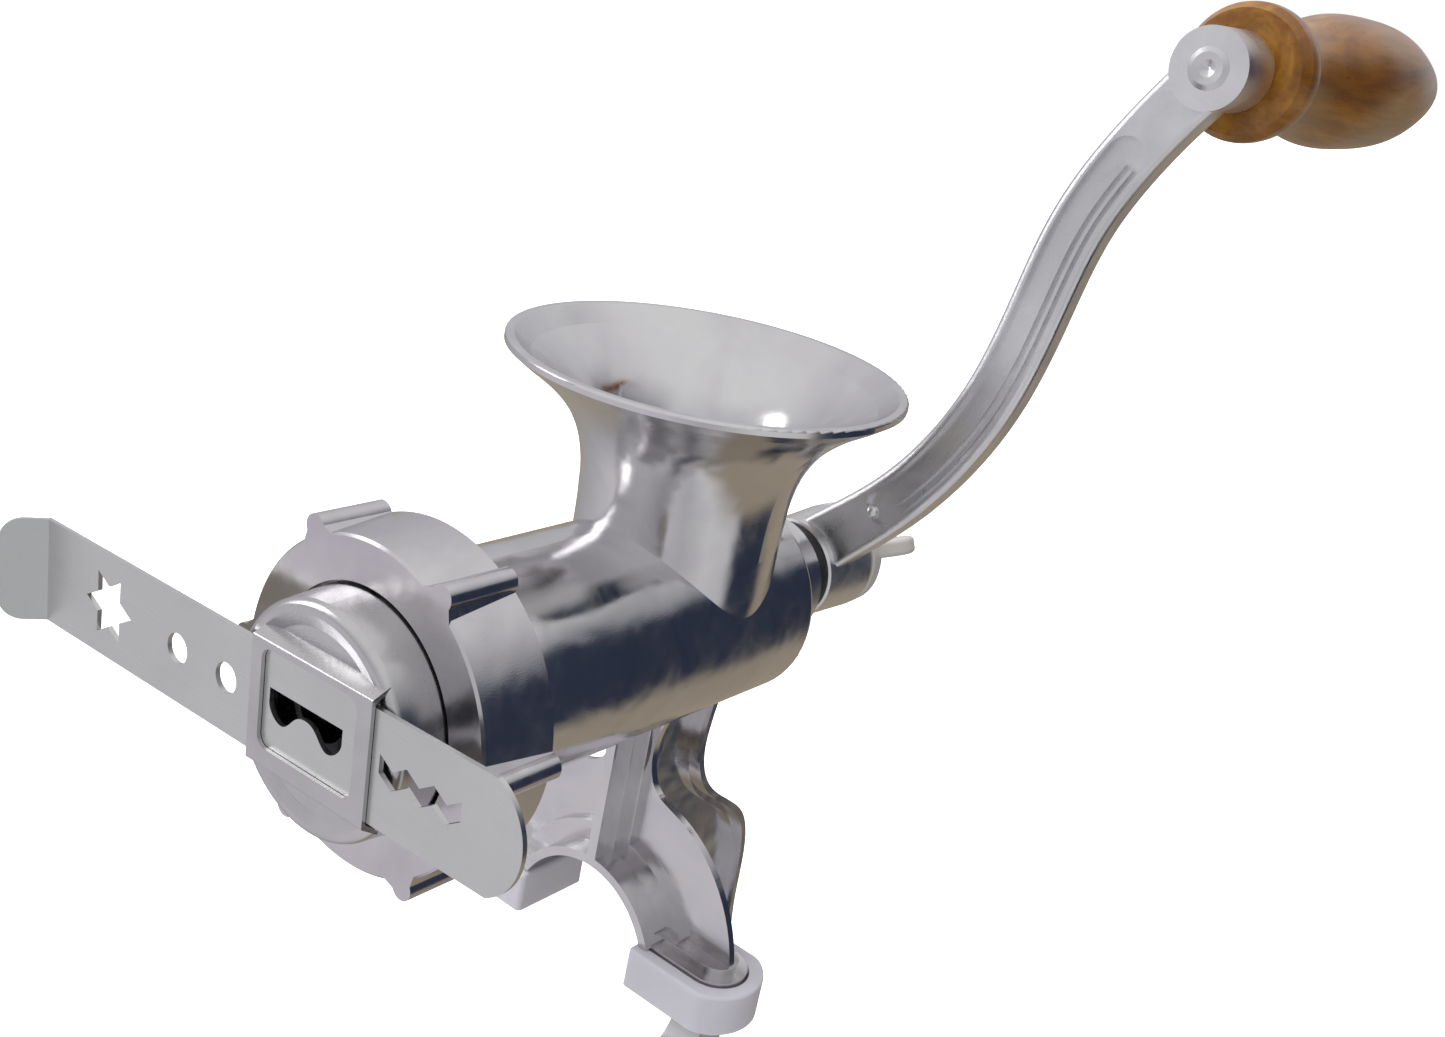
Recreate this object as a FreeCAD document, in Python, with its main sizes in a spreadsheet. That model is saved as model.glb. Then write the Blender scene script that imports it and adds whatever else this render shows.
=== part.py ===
import FreeCAD, Part
import math
import os
import Sketcher
from FreeCAD import Placement, Rotation, Vector

# Hand crank meat grinder with a cookie attachment, clamped to a table edge.
# Millimetres, +Z up. The origin lies on the table top, on the hopper's axis, midway
# between the two feet. The barrel lies along Y: the outlet faces -Y, the crank is at +Y.

X = Vector(1, 0, 0)
Y = Vector(0, 1, 0)
Z = Vector(0, 0, 1)

doc = FreeCAD.newDocument("meat_grinder")

# ---------------------------------------------------------------- driving dimensions
DIMENSIONS = {
    # barrel, along Y
    "axis_height": 86.0,
    "barrel_radius": 24.0,
    "barrel_rear": 25.5,
    "barrel_corner": 1.6,
    "bore_radius": 21.2,
    "bore_rear": 21.5,
    "boss_radius": 15.0,
    "boss_rear": 41.0,
    "head_radius": 29.4,
    "head_front": -82.2,
    "head_rear": -69.0,
    "head_taper_end": -66.0,
    "plate_seat": -78.7,
    "seat_radius": 27.1,
    # hopper, about Z
    "neck_radius": 22.7,
    "hopper_wall": 3.0,
    "rim_radius": 43.1,
    "rim_height": 144.5,
    "rim_edge": 1.5,
    "rim_lip": 1.9,
    "rim_round": 0.5,
    # legs and feet
    "web_half": 0.9,
    "rib_half": 1.3,
    "rib_step": 2.2,
    "flange_reach": 9.0,
    "middle_reach": 5.6,
    "inner_reach": 2.8,
    "arch_thick": 2.2,
    "arch_step": 5.0,
    "arch_half_width": 20.5,
    "arch_top": 22.0,
    "foot_inner": 19.6,
    "foot_outer": 41.4,
    "foot_half_width": 7.4,
    "foot_ledge": 2.0,
    "foot_ledge_inset": 2.4,
    "pad_inner": 17.0,
    "pad_outer": 45.2,
    "pad_half_width": 11.2,
    "pad_end_depth": 7.2,
    "pad_height": 10.0,
    "pad_floor": 2.4,
    "pad_pocket_gap": 0.5,
    "pad_outer_round": 5.0,
    "pad_inner_round": 1.2,
    "pad_rim_round": 0.8,
    # clamp
    "spine_half": 5.0,
    "spine_rim": 1.6,
    "spine_step": 3.2,
    "spine_step_half": 2.8,
    "jaw_top": -62.0,
    "jaw_bottom": -81.0,
    "jaw_radius": 11.0,
    "screw_radius": 6.0,
    "thread_gap": 0.08,
    "disc_radius": 15.0,
    "disc_top": -52.0,
    "disc_thick": 4.2,
    "tommy_radius": 3.0,
    "tommy_length": 74.0,
    "tommy_height": -132.0,
    "tip_radius": 4.0,
    "thread_pitch": 1.75,
    "thread_depth": 0.7,
    "clamp_head_radius": 8.6,
    "knob_radius": 4.8,
    "knob_length": 7.5,
    # ring nut
    "ring_front": -86.0,
    "ring_rear": -70.0,
    "ring_radius": 33.9,
    "ring_front_radius": 32.7,
    "ring_mouth": 24.0,
    "ring_bore": 29.48,
    "ring_lip": 2.5,
    "ring_chamfer": 0.5,
    "lug_radius": 2.5,
    "lug_circle": 34.1,
    "lug_blend_inner": 31.9,
    "lug_blend_outer": 34.0,
    "lug_blend_half": 4.4,
    "lug_blend_top_half": 2.45,
    # cookie cup, slide and its bridge
    "sheet": 0.8,
    "flange_radius": 28.9,
    "cup_radius": 23.6,
    "cup_small_radius": 22.8,
    "cup_face": -96.4,
    "cup_corner": 1.9,
    "cup_dish": 0.9,
    "cup_dish_width": 2.6,
    "cup_face_ring": 0.6,
    "cup_opening_half": 12.0,
    "cup_opening_low": -7.0,
    "cup_opening_high": 9.0,
    "cup_opening_corner": 3.0,
    "bridge_front": -99.0,
    "bridge_left": -14.8,
    "bridge_right": 17.9,
    "bridge_top": 14.2,
    "bridge_bottom": -14.6,
    "bridge_draft": 1.6,
    "bridge_low_draft": 2.3,
    "bridge_round": 0.6,
    "window_low": -8.6,
    "window_high": 11.2,
    "window_left": -11.9,
    "window_right": 14.2,
    "window_corner": 2.4,
    "slide_front": -98.1,
    "slide_thick": 1.0,
    "slide_half_width": 11.1,
    "slide_left": -83.0,
    "slide_right": 47.5,
    "slide_tip": 54.6,
    "slide_tilt": 2.6,
    "shape_pitch": 30.6,
    "tab_length": 9.6,
    "tab_angle": 55.0,
    "tab_corner": 5.0,
    "star_outer": 7.6,
    "star_inner": 4.3,
    "dot_radius": 3.1,
    "dot_spread": 7.6,
    "tooth_pitch": 3.38,
    "tooth_rise": 1.05,
    "tooth_band": 3.7,
    # centring plate and pin
    "centring_thick": 4.0,
    "centring_radius": 26.95,
    "stud_radius": 5.0,
    "running_gap": 0.06,
    "plate_hole_radius": 6.6,
    "plate_hole_circle": 15.4,
    "locating_circle": 24.4,
    "locating_radius": 1.5,
    "locating_fit": 0.02,
    "notch_radius": 1.75,
    # feed screw
    "flight_radius": 20.5,
    "flight_front": -74.0,
    "flight_rear": 16.0,
    "core_radius": 8.5,
    "core_taper": 4.5,
    "flight_pitch": 24.0,
    "flight_root": 5.6,
    "flight_tip": 2.6,
    "collar_length": 4.4,
    "shaft_radius": 8.0,
    "bush_radius": 11.0,
    "square_side": 11.0,
    "square_start": 47.0,
    "stem_radius": 3.0,
    "stem_length": 18.0,
    "bush_step": 1.2,
    "washer_gap": 0.3,
    # crank
    "hub_front": 48.5,
    "hub_rear": 66.0,
    "hub_radius": 12.4,
    "hub_rear_radius": 13.1,
    "arm_half_width": 6.6,
    "arm_flare": 2.4,
    "arm_thick": 7.6,
    "arm_lean": 14.5,
    "channel_half": 4.5,
    "channel_depth": 1.6,
    "crank_x": 64.5,
    "crank_z": 135.0,
    "end_front": 60.7,
    "end_rear": 75.5,
    "end_radius": 8.5,
    "arm_round": 1.6,
    # grip
    "grip_front": 78.0,
    "grip_washer_radius": 7.2,
    "grip_length": 122.0,
    "grip_radius": 15.5,
    "collar_radius": 14.5,
    "waist_radius": 10.9,
    "pin_radius": 3.5,
    "peen_radius": 4.4,
    "peen_depth": 1.2,
    "pin_head_radius": 5.4,
    "pin_sink": 4.5,
    # wing screw and washer
    "wing_stem_radius": 4.0,
    "wing_stem_length": 12.0,
    "wing_bore_radius": 4.05,
    "wing_washer_radius": 11.0,
    "wing_washer_bore": 4.3,
    "wing_washer_thick": 1.0,
    "wing_half": 2.2,
    "wing_turn": 24.0,
}

sheet = doc.addObject("Spreadsheet::Sheet", "Dim")
for row, (alias, size) in enumerate(DIMENSIONS.items(), start=1):
    sheet.set(f"A{row}", alias)
    sheet.set(f"B{row}", str(size))
    sheet.setAlias(f"B{row}", alias)
doc.recompute()

SUBPARTS = []


def size(expression):
    """The value of an expression in the sheet's aliases."""
    return float(sheet.evalExpression(expression))


def keep(obj, label):
    """Name a finished sub-part and put it in the list that is written out."""
    obj.Label = label
    SUBPARTS.append(obj)
    return obj


# ---------------------------------------------------------------- sketching helpers
def new_body(label):
    return keep(doc.addObject("PartDesign::Body", label), label)


def new_sketch(body, role, offset=None):
    """An empty sketch on one of the body's own origin planes."""
    sketch = body.newObject("Sketcher::SketchObject", "Sketch")
    plane = [item for item in body.Origin.OriginFeatures if item.Role == role][0]
    sketch.AttachmentSupport = [(plane, "")]
    sketch.MapMode = "FlatFace"
    if offset:
        sketch.setExpression(".AttachmentOffset.Base.z", offset)
    return sketch


def pin_point(sketch, edge, end, place):
    """Tie one end of an edge to the sketch's origin by two expressions."""
    for kind, expression in zip(("DistanceX", "DistanceY"), place):
        number = sketch.addConstraint(Sketcher.Constraint(kind, -1, 1, edge, end, size(expression)))
        sketch.setExpression(f"Constraints[{number}]", expression)


def add_outline(sketch, points):
    """A closed outline of straight edges. Each point is a pair of expressions."""
    places = [Vector(size(u), size(v), 0) for u, v in points]
    first = len(sketch.Geometry)
    count = len(points)
    for i in range(count):
        sketch.addGeometry(Part.LineSegment(places[i], places[(i + 1) % count]), False)
    for i in range(count):
        follower = first + (i + 1) % count
        sketch.addConstraint(Sketcher.Constraint("Coincident", first + i, 2, follower, 1))
        pin_point(sketch, first + i, 1, points[i])


def add_circle(sketch, centre, radius):
    """A circle whose centre and radius are expressions."""
    middle = Vector(size(centre[0]), size(centre[1]), 0)
    edge = sketch.addGeometry(Part.Circle(middle, Z, size(radius)), False)
    pin_point(sketch, edge, 3, centre)
    number = sketch.addConstraint(Sketcher.Constraint("Radius", edge, size(radius)))
    sketch.setExpression(f"Constraints[{number}]", radius)


def revolve(body, role, points, axis):
    """Revolve a closed outline about the sketch's own H_Axis or V_Axis."""
    sketch = new_sketch(body, role)
    add_outline(sketch, points)
    turned = body.newObject("PartDesign::Revolution", "Revolution")
    turned.Profile = sketch
    turned.ReferenceAxis = (sketch, [axis])
    turned.Angle = 360
    doc.recompute()
    return turned


def pad_rearwards(body, sketch, length):
    """Pad a sketch on the X-Z plane towards +Y."""
    padded = body.newObject("PartDesign::Pad", "Pad")
    padded.Profile = sketch
    padded.setExpression("Length", length)
    padded.Reversed = True
    doc.recompute()
    return padded


def pocket(body, sketch, length):
    """Cut a sketch out of the body, and make sure that something was cut."""
    before = body.Shape.Volume
    cut = body.newObject("PartDesign::Pocket", "Pocket")
    cut.Profile = sketch
    cut.setExpression("Length", length)
    doc.recompute()
    if cut.Shape.Volume > before - 0.01:
        raise RuntimeError(f"{body.Label}: a pocket cut nothing")
    return cut


# ---------------------------------------------------------------- shape helpers
def shaped(label, shape, place=None):
    """A sub-part whose shape is set directly, moved after its shape is set."""
    obj = doc.addObject("Part::Feature", label)
    obj.Shape = shape
    if place:
        obj.Placement = place
    return keep(obj, label)


def spline(points):
    curve = Part.BSplineCurve()
    curve.interpolate(points)
    return curve.toShape()


def polyline(points):
    return [Part.LineSegment(a, b).toShape() for a, b in zip(points, points[1:])]


def face_of(edges):
    return Part.Face(Part.Wire(Part.__sortEdges__(edges)))


def slab(face, direction, half):
    """Extrude a face both ways along a unit direction."""
    start = face.copy()
    start.translate(direction * -half)
    return start.extrude(direction * (2 * half))


def turned_solid(edges, centre, direction):
    return face_of(edges).revolve(centre, direction, 360)


def cylinder(radius, low, high, direction, u=0.0, v=0.0):
    """A cylinder along X, Y or Z from low to high, with its axis at (u, v)."""
    if direction == X:
        base = Vector(low, u, v)
    elif direction == Y:
        base = Vector(u, low, v)
    else:
        base = Vector(u, v, low)
    return Part.makeCylinder(radius, high - low, base, direction)


def fuse(shapes):
    """Join shapes one after another."""
    joined = shapes[0]
    for shape in shapes[1:]:
        joined = joined.fuse(shape)
    return joined.removeSplitter()


def cut_all(shape, tools):
    """Cut tools one after another, and make sure that each one cut something."""
    for tool in tools:
        before = shape.Volume
        shape = shape.cut(tool)
        if shape.Volume > before - 0.01:
            raise RuntimeError("a tool cut nothing")
    return shape


# a cut or a limit this long reaches past any wall of the casting's legs and frame
WELL_PAST = 30.0
# fitted pieces stay this far apart where they don't bear on each other
AIR = 0.3

AXIS = size("Dim.axis_height")
TO_AXIS = Placement(Vector(0, 0, AXIS), Rotation())


# ---------------------------------------------------------------- grinder body
def yz(points):
    return [Vector(0, y, z) for y, z in points]


def xz(points, y=0.0):
    return [Vector(x, y, z) for x, z in points]


def barrel_shell():
    """The barrel, outlet head and rear boss as one turned solid."""
    outline = [
        (size("Dim.head_front"), 0),
        (size("Dim.head_front"), size("Dim.head_radius")),
        (size("Dim.head_rear"), size("Dim.head_radius")),
        (size("Dim.head_taper_end"), size("Dim.barrel_radius")),
        (size("Dim.barrel_rear"), size("Dim.barrel_radius")),
        (size("Dim.barrel_rear"), size("Dim.boss_radius")),
        (size("Dim.boss_rear"), size("Dim.boss_radius")),
        (size("Dim.boss_rear"), 0),
    ]
    places = [Vector(0, y, AXIS + radius) for y, radius in outline]
    solid = turned_solid(polyline(places + places[:1]), Vector(0, 0, AXIS), Y)
    rounded = [
        edge for edge in solid.Edges
        if isinstance(edge.Curve, Part.Circle)
        and abs(edge.Curve.Center.y - size("Dim.barrel_rear")) < 0.01
    ]
    return solid.makeFillet(size("Dim.barrel_corner"), rounded)


def barrel_hollow():
    """The screw's bore, the plate's seat and the bush's bore."""
    rear_wall = size("Dim.bore_rear")
    past = 2.0
    return [
        cylinder(size("Dim.bore_radius"), size("Dim.plate_seat") - past, rear_wall, Y, 0, AXIS),
        cylinder(size("Dim.seat_radius"), size("Dim.head_front") - past, size("Dim.plate_seat"), Y, 0, AXIS),
        cylinder(size("Dim.bush_radius"), rear_wall - past, size("Dim.boss_rear") + past, Y, 0, AXIS),
    ]


def hopper_profile(inset):
    """The trumpet's side as (radius, height) points, moved inwards by inset."""
    neck = size("Dim.neck_radius")
    rim = size("Dim.rim_radius")
    top = size("Dim.rim_height")
    flare = rim - neck
    steps = ((0.0, 38.0), (0.012, 30.0), (0.06, 23.0), (0.24, 14.5), (0.52, 8.5), (0.86, 3.6))
    return [(neck + flare * part - inset, top - drop) for part, drop in steps]


def hopper_solid(inset, low, lip, edge):
    """A solid of revolution under the trumpet's side, from low to the rim's top.

    The lip is the rim's distance inside the full radius, the edge its upright height."""
    side = [Vector(radius, 0, height) for radius, height in hopper_profile(inset)]
    top = size("Dim.rim_height")
    edge_radius = size("Dim.rim_radius") - lip
    path = [Vector(0, 0, low), Vector(side[0].x, 0, low), side[0]]
    crown = [side[-1], Vector(edge_radius, 0, top - edge)]
    if edge > 0:
        crown.append(Vector(edge_radius, 0, top))
    closing = [crown[-1], Vector(0, 0, top), Vector(0, 0, low)]
    return turned_solid(polyline(path) + [spline(side)] + polyline(crown) + polyline(closing),
                        Vector(0, 0, 0), Z)


def leg_outline():
    """The web's outer edge, from the barrel's underside down to just above the pad."""
    return [(10.0, 66.0), (6.6, 57.0), (6.2, 50.0), (8.6, 44.0), (16.0, 40.6), (25.0, 35.6),
            (33.0, 26.4), (37.6, 15.6), (38.6, size("Dim.pad_height") + AIR)]


def arch_solid(offset, reach):
    """The space under the arch, grown by offset, from -reach to reach along Y."""
    half = size("Dim.arch_half_width") + offset
    top = size("Dim.arch_top") + offset
    ellipse = Part.Ellipse(Vector(0, 0, 0), max(half, top), min(half, top))
    face = Part.Face(Part.Wire(ellipse.toShape()))
    spin = Rotation(X, 90)
    if top > half:
        spin = spin.multiply(Rotation(Z, 90))
    face.Placement = Placement(Vector(0, 0, 0), spin)
    return slab(face, Y, reach)


def centred_box(half_x, half_y, low, high):
    return Part.makeBox(2 * half_x, 2 * half_y, high - low, Vector(-half_x, -half_y, low))


def legs():
    """The two legs' web, with an arch flange and a central rib that both step down to it."""
    side = leg_outline()
    mirror = [(-x, z) for x, z in reversed(side)]
    edges = [spline(xz(side)), spline(xz(mirror))]
    edges += polyline(xz([side[-1], mirror[0]])) + polyline(xz([mirror[-1], side[0]]))
    outline = face_of(edges)
    reaches = [size(f"Dim.{name}_reach") for name in ("flange", "middle", "inner")]
    thick = size("Dim.arch_thick")
    step = size("Dim.arch_step")
    rib = size("Dim.rib_half")
    low = size("Dim.arch_top")
    high = AXIS - size("Dim.barrel_radius") + 2.0
    pieces = [slab(outline, Y, size("Dim.web_half"))]
    for number, reach in enumerate(reaches):
        pieces.append(centred_box(rib + size("Dim.rib_step") * number, reach, low, high))
    for grown, reach in ((thick, reaches[0]), (thick + step, reaches[2])):
        pieces.append(slab(outline, Y, reach).common(arch_solid(grown, WELL_PAST)))
    saddle_half_x = 7.0
    saddle_half_y = 12.0
    saddle_depth = 3.2
    saddle = centred_box(saddle_half_x, saddle_half_y, high - saddle_depth, high)
    return fuse(pieces + [saddle]).cut(arch_solid(0.0, WELL_PAST))


def foot_blocks():
    """The oval foot under each leg, which sits in its pad, with a ledge where it meets the web."""
    inner = size("Dim.foot_inner")
    outer = size("Dim.foot_outer")
    bottom_gap = 0.1
    foot_rise = 0.8
    low = size("Dim.pad_floor") + bottom_gap
    top = size("Dim.pad_height") + foot_rise
    blocks = []
    for shrink, high in ((0.0, top), (size("Dim.foot_ledge_inset"), top + size("Dim.foot_ledge"))):
        half = size("Dim.foot_half_width") - shrink
        for side in (-1, 1):
            centre = side * (outer - shrink - half)
            start = min(side * inner, centre)
            blocks.append(Part.makeCylinder(half, high - low, Vector(centre, 0, low)))
            blocks.append(Part.makeBox(outer - shrink - half - inner, 2 * half, high - low,
                                       Vector(start, -half, low)))
    return blocks


SPINE_REAR = ((24.0, 64.0), (21.6, 52.0), (21.4, 45.0), (25.0, 36.0), (35.0, 27.4), (44.6, 19.4),
              (48.6, 9.0), (49.6, -8.0), (51.0, -18.0), (54.0, -30.0), (57.2, -43.0), (58.0, -56.0),
              (55.6, -69.0), (46.0, -78.6), (30.0, -81.0), (14.0, -81.0))
SPINE_FRONT = ((14.0, -62.0), (30.0, -61.8), (42.0, -58.4), (48.0, -50.0), (47.6, -40.0), (43.0, -28.0),
               (36.5, -17.0), (31.5, -8.0), (29.0, 0.0), (24.0, 10.0), (12.0, 19.0), (0.0, 22.0))


def spine():
    """The clamp's frame in the Y-Z plane: a thin web, a rim in two steps, and the lower jaw."""
    rear = yz(SPINE_REAR)
    front = yz(SPINE_FRONT)
    low = size("Dim.jaw_bottom")
    high = size("Dim.jaw_top")
    sink = 2.0
    top_front = Vector(0, 0, AXIS - size("Dim.barrel_radius") + sink)
    edges = [spline(rear), spline(front)]
    edges += polyline([rear[-1], Vector(0, 0, low), Vector(0, 0, high), front[0]])
    edges += polyline([front[-1], top_front, rear[0]])
    outline = face_of(edges)
    full = slab(outline, X, size("Dim.spine_half"))
    recesses = (("Dim.spine_rim", "Dim.spine_step_half"), ("Dim.spine_step", "Dim.web_half"))
    for rim, floor in recesses:
        inner = outline.makeOffset2D(-size(rim)).toNurbs()
        for side in (-1, 1):
            recess = inner.extrude(X * (WELL_PAST * side))
            recess.translate(X * (size(floor) * side))
            full = full.cut(recess)
    jaw = cylinder(size("Dim.jaw_radius"), low, high, Z)
    return [full, jaw]


def grinder_body():
    """One casting: barrel, hopper, legs, feet and clamp frame."""
    top = size("Dim.rim_height")
    trumpet = hopper_solid(0.0, AXIS, 0.0, size("Dim.rim_edge"))
    outside = fuse([barrel_shell(), trumpet, legs()] + foot_blocks() + spine())
    wall = size("Dim.hopper_wall")
    inside = hopper_solid(wall, AXIS - 4.0, size("Dim.rim_lip"), 0.0)
    past = 3.0
    thread = cylinder(size("Dim.screw_radius") + size("Dim.thread_gap"),
                      size("Dim.jaw_bottom") - past, size("Dim.jaw_top") + past, Z)
    seat = size("Dim.plate_seat")
    pin_depth = 4.0
    pin_hole = cylinder(size("Dim.locating_radius + Dim.locating_fit"), seat - 5.0, seat + pin_depth, Y,
                        0, AXIS + size("Dim.locating_circle"))
    casting = cut_all(outside, [inside] + barrel_hollow() + [thread, pin_hole])
    rim = [
        edge for edge in casting.Edges
        if isinstance(edge.Curve, Part.Circle) and abs(edge.Curve.Center.z - top) < 0.01
    ]
    casting = casting.makeFillet(size("Dim.rim_round"), rim)
    return shaped("grinder_body", casting)


# ---------------------------------------------------------------- feet
def foot_pad(side, label):
    """A plastic pad: square at its inner end, round at its outer end, with an oval pocket."""
    inner = size("Dim.pad_inner")
    outer = size("Dim.pad_outer")
    half = size("Dim.pad_half_width")
    shoulder = outer - size("Dim.pad_end_depth")
    corners = [Vector(shoulder, half, 0), Vector(inner, half, 0), Vector(inner, -half, 0),
               Vector(shoulder, -half, 0)]
    end = Part.Arc(corners[3], Vector(outer, 0, 0), corners[0]).toShape()
    pad_solid = face_of(polyline(corners) + [end]).extrude(Z * size("Dim.pad_height"))
    upright = [edge for edge in pad_solid.Edges if abs(edge.tangentAt(edge.FirstParameter).z) > 0.99]
    outer_edges = [edge for edge in upright if edge.Vertexes[0].X > shoulder - 0.1]
    inner_edges = [edge for edge in upright if edge.Vertexes[0].X < inner + 0.1]
    pad_solid = pad_solid.makeFillet(size("Dim.pad_outer_round"), outer_edges)
    pad_solid = pad_solid.makeFillet(size("Dim.pad_inner_round"), [
        edge for edge in pad_solid.Edges
        if any(abs(edge.CenterOfMass.x - old.CenterOfMass.x) < 0.01
               and abs(edge.CenterOfMass.y - old.CenterOfMass.y) < 0.01 for old in inner_edges)])
    top = size("Dim.pad_height")
    rim = [edge for edge in pad_solid.Edges if edge.BoundBox.ZMin > top - 0.01]
    pad_solid = pad_solid.makeFillet(size("Dim.pad_rim_round"), rim)
    gap = size("Dim.pad_pocket_gap")
    foot_half = size("Dim.foot_half_width") + gap
    low = size("Dim.pad_floor")
    start = size("Dim.foot_inner") - AIR
    stop = size("Dim.foot_outer") + gap - foot_half
    hollow = Part.makeBox(stop - start, 2 * foot_half, top, Vector(start, -foot_half, low))
    hollow = hollow.fuse(Part.makeCylinder(foot_half, top, Vector(stop, 0, low)))
    pad_solid = pad_solid.cut(hollow)
    if side < 0:
        pad_solid = pad_solid.mirror(Vector(0, 0, 0), X)
    return shaped(label, pad_solid)


# ---------------------------------------------------------------- outlet
def ring_nut():
    """The ring nut: a tapering, lipped ring with six round lugs blended into its side."""
    body = new_body("ring_nut")
    front = "Dim.ring_front"
    rear = "Dim.ring_rear"
    revolve(body, "YZ_Plane", [
        (front, "Dim.ring_mouth"),
        (front, "Dim.ring_front_radius - Dim.ring_chamfer"),
        (f"{front} + Dim.ring_chamfer", "Dim.ring_front_radius"),
        (rear, "Dim.ring_radius"),
        (rear, "Dim.ring_bore"),
        (f"{front} + Dim.ring_lip", "Dim.ring_bore"),
        (f"{front} + Dim.ring_lip", "Dim.ring_mouth"),
    ], "H_Axis")
    sketch = new_sketch(body, "XZ_Plane", "-Dim.ring_front")
    add_circle(sketch, ("Dim.lug_circle", "0"), "Dim.lug_radius")
    lug = pad_rearwards(body, sketch, "Dim.ring_rear - Dim.ring_front")
    side_sketch = new_sketch(body, "XZ_Plane", "-Dim.ring_front")
    add_outline(side_sketch, [
        ("Dim.lug_blend_inner", "-Dim.lug_blend_half"),
        ("Dim.lug_blend_outer", "-Dim.lug_blend_top_half"),
        ("Dim.lug_blend_outer", "Dim.lug_blend_top_half"),
        ("Dim.lug_blend_inner", "Dim.lug_blend_half"),
    ])
    blend = pad_rearwards(body, side_sketch, "Dim.ring_rear - Dim.ring_front")
    pattern = body.newObject("PartDesign::PolarPattern", "LugPattern")
    pattern.Originals = [lug, blend]
    axis_line = [item for item in body.Origin.OriginFeatures if item.Role == "Y_Axis"][0]
    pattern.Axis = (axis_line, [""])
    pattern.Angle = 360
    pattern.Occurrences = 6
    body.Tip = pattern
    doc.recompute()
    body.Placement = TO_AXIS
    return body


def cup_shell():
    """The stamped cup: flange, side, rounded shoulder and a slightly dished face."""
    sheet_thick = size("Dim.sheet")
    flange = size("Dim.ring_front + Dim.ring_lip")
    radius = size("Dim.cup_radius")
    small = size("Dim.cup_small_radius")
    face = size("Dim.cup_face")
    corner = size("Dim.cup_corner")
    dish = size("Dim.cup_dish")
    dish_width = size("Dim.cup_dish_width")

    def profile(inset):
        """The outside of the cup, or its inside when inset is the sheet's thickness."""
        front = face + inset
        turn = corner - inset
        bend = turn * math.sqrt(0.5)
        flat = small - corner - size("Dim.cup_face_ring")
        ends = [
            Vector(0, flange + inset, size("Dim.flange_radius")),
            Vector(0, flange + inset, radius - inset),
            Vector(0, face + corner, small - inset),
            Vector(0, front, small - corner),
            Vector(0, front, flat),
            Vector(0, front + dish, flat - dish_width),
            Vector(0, front + dish, 0),
        ]
        middle = Vector(0, face + corner - bend, small - corner + bend)
        arc = Part.Arc(ends[2], middle, ends[3]).toShape()
        return polyline(ends[:3]) + [arc] + polyline(ends[3:]), ends

    outer, outer_ends = profile(0.0)
    inner, inner_ends = profile(sheet_thick)
    closing = polyline([outer_ends[0], inner_ends[0]]) + polyline([outer_ends[-1], inner_ends[-1]])
    return turned_solid(outer + inner + closing, Vector(0, 0, 0), Y)


def bridge():
    """The raised panel that holds the slide against the cup's face, open at both ends."""
    sheet_thick = size("Dim.sheet")
    back = size("Dim.cup_face + Dim.cup_dish + Dim.sheet / 2")
    front = size("Dim.bridge_front")
    top = size("Dim.bridge_top")
    bottom = size("Dim.bridge_bottom")
    left = size("Dim.bridge_left")
    right = size("Dim.bridge_right")

    def block(inset, start, stop):
        corners = [(back, top - inset), (front + inset, top - size("Dim.bridge_draft") - inset),
                   (front + inset, bottom + size("Dim.bridge_low_draft") + inset), (back, bottom + inset)]
        places = [Vector(start, y, z) for y, z in corners]
        return face_of(polyline(places + places[:1])).extrude(X * (stop - start))

    outer = block(0.0, left, right)
    edges = [edge for edge in outer.Edges
             if abs(edge.tangentAt(edge.FirstParameter).x) > 0.99 and edge.CenterOfMass.y < front + 0.1]
    outer = outer.makeFillet(size("Dim.bridge_round"), edges)
    past = 5.0
    return outer, block(sheet_thick, left - past, right + past)


def rounded_box(low, high, corner):
    """A box whose four edges along Y are rounded."""
    solid = Part.makeBox(high.x - low.x, high.y - low.y, high.z - low.z, low)
    edges = [edge for edge in solid.Edges if abs(edge.tangentAt(edge.FirstParameter).y) > 0.99]
    return solid.makeFillet(corner, edges)


TILT = Rotation(Y, -size("Dim.slide_tilt"))


def cookie_cup():
    """The cup with its bridge, the window in the bridge and the dough opening behind it."""
    outer, inner = bridge()
    front = size("Dim.bridge_front")
    face = size("Dim.cup_face")
    window = rounded_box(
        Vector(size("Dim.window_left"), front - 2, size("Dim.window_low")),
        Vector(size("Dim.window_right"), front + 1.5, size("Dim.window_high")),
        size("Dim.window_corner"))
    half = size("Dim.cup_opening_half")
    opening = rounded_box(
        Vector(-half, face - 0.5, size("Dim.cup_opening_low")),
        Vector(half, face + 3, size("Dim.cup_opening_high")),
        size("Dim.cup_opening_corner"))
    shell = cup_shell().fuse(outer).cut(inner.cut(cup_shell())).cut(window).cut(opening)
    return shaped("cookie_cup", shell.removeSplitter(), Placement(Vector(0, 0, AXIS), TILT))


def star(centre, outer, inner, tips):
    points = []
    for k in range(2 * tips):
        radius = outer if k % 2 == 0 else inner
        angle = math.pi * k / tips
        points.append((centre + radius * math.cos(angle), radius * math.sin(angle)))
    return points


def zigzag(centre, pitch, rise, thick, teeth, level):
    """A saw-tooth band of the given thickness about a level."""
    upper = []
    for k in range(teeth + 1):
        upper.append((centre - pitch * teeth / 2 + pitch * k, -rise if k % 2 else rise))
    lower = [(x, z - thick) for x, z in reversed(upper)]
    return [(x, z + thick / 2 + level) for x, z in upper + lower]


def cut_prism(points, low, high):
    places = [Vector(x, low, z) for x, z in points]
    return face_of(polyline(places + places[:1])).extrude(Y * (high - low))


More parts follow.
